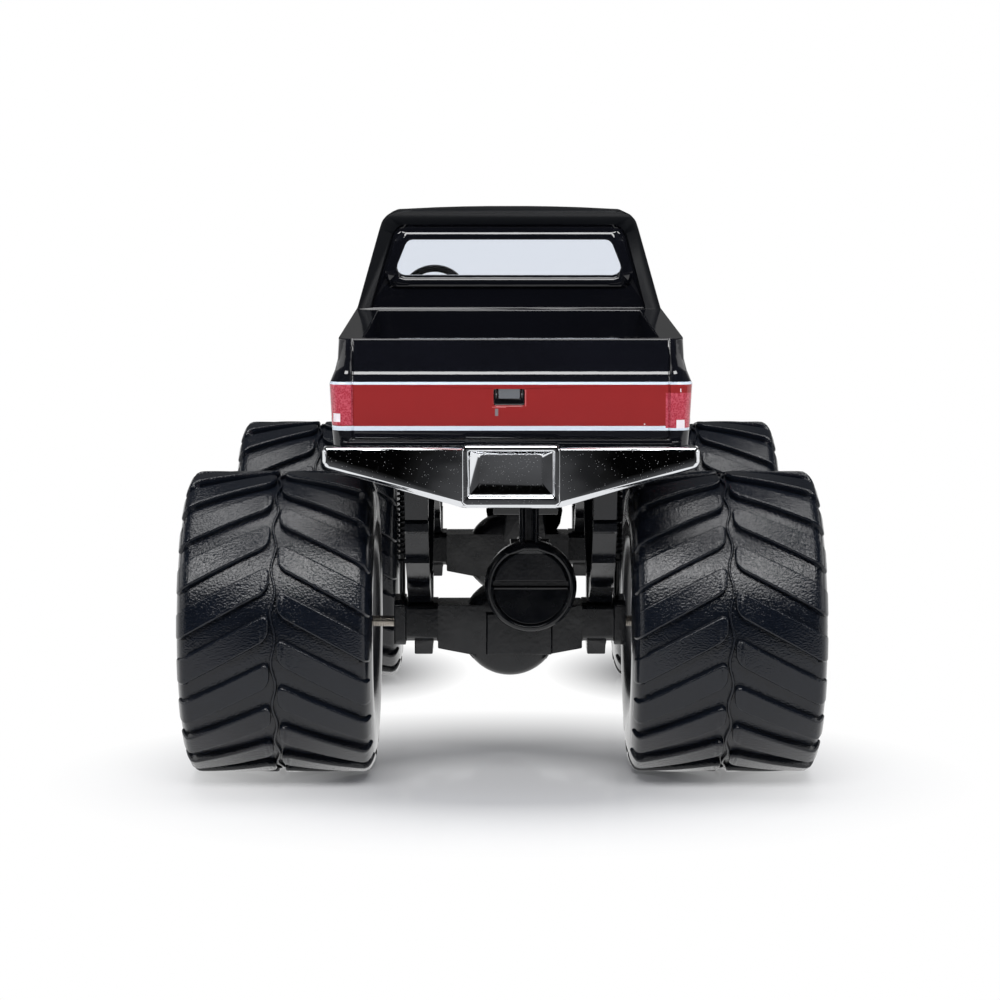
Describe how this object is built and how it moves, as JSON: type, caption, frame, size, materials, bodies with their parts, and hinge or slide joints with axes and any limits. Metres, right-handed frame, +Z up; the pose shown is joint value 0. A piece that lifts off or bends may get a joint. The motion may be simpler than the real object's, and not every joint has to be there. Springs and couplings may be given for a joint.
{
  "type": "toy monster truck",
  "caption": "Die-cast toy monster truck: gloss black pickup body with a cab and an open bed, tall leaf-sprung chassis, and very large lugged tyres on two rolling axles.",
  "frame": {"origin": "on the ground, under the middle of the truck's length, on its centre line", "axes": "+Y points forwards, +X to the right as seen from behind, +Z up"},
  "size_m": [0.0596, 0.0798, 0.0526],
  "materials": {
    "body_paint": "gloss black paint with a red band and a satin roof",
    "window_plastic": "clear moulded plastic",
    "interior_plastic": "matte black plastic",
    "chassis_plastic": "semi-gloss black plastic",
    "chrome": "bright vacuum plating on plastic",
    "lamp_lens": "clear ribbed plastic over silver",
    "steel": "plain steel wire",
    "tyre": "satin black soft plastic"
  },
  "bodies": {
    "truck": {"body_casting": "body_paint", "window_insert": "window_plastic", "interior_tub": "interior_plastic", "steering_wheel": "interior_plastic", "front_grille": "chrome", "headlamp_left": "lamp_lens", "headlamp_right": "lamp_lens", "rear_bumper": "chrome", "front_bumper": "chrome", "chassis_frame": "chassis_plastic", "base_screw_rear": "steel", "base_screw_front": "steel", "transfer_case": "chassis_plastic", "rear_axle_housing": "chassis_plastic", "rear_differential": "chassis_plastic", "rear_drive_shaft": "chassis_plastic", "front_axle_housing": "chassis_plastic", "front_differential": "chassis_plastic", "front_drive_shaft": "chassis_plastic", "leaf_spring_rear_left": "chassis_plastic", "coil_shock_rear_left": "chassis_plastic", "leaf_spring_rear_right": "chassis_plastic", "coil_shock_rear_right": "chassis_plastic", "leaf_spring_front_left": "chassis_plastic", "coil_shock_front_left": "chassis_plastic", "leaf_spring_front_right": "chassis_plastic", "coil_shock_front_right": "chassis_plastic"},
    "rear_wheelset": {"rear_axle_pin": "steel", "tyre_rear_left": "tyre", "rim_rear_left": "chrome", "hub_rear_left": "chrome", "tyre_rear_right": "tyre", "rim_rear_right": "chrome", "hub_rear_right": "chrome"},
    "front_wheelset": {"front_axle_pin": "steel", "tyre_front_left": "tyre", "rim_front_left": "chrome", "hub_front_left": "chrome", "tyre_front_right": "tyre", "rim_front_right": "chrome", "hub_front_right": "chrome"}
  },
  "joints": [
    {"name": "rear_roll", "type": "hinge", "parent": "truck", "child": "rear_wheelset", "pos_m": [0, -0.0221, 0.0142], "axis": [1, 0, 0], "continuous": true},
    {"name": "front_roll", "type": "hinge", "parent": "truck", "child": "front_wheelset", "pos_m": [0, 0.0245, 0.0142], "axis": [1, 0, 0], "continuous": true}
  ]
}
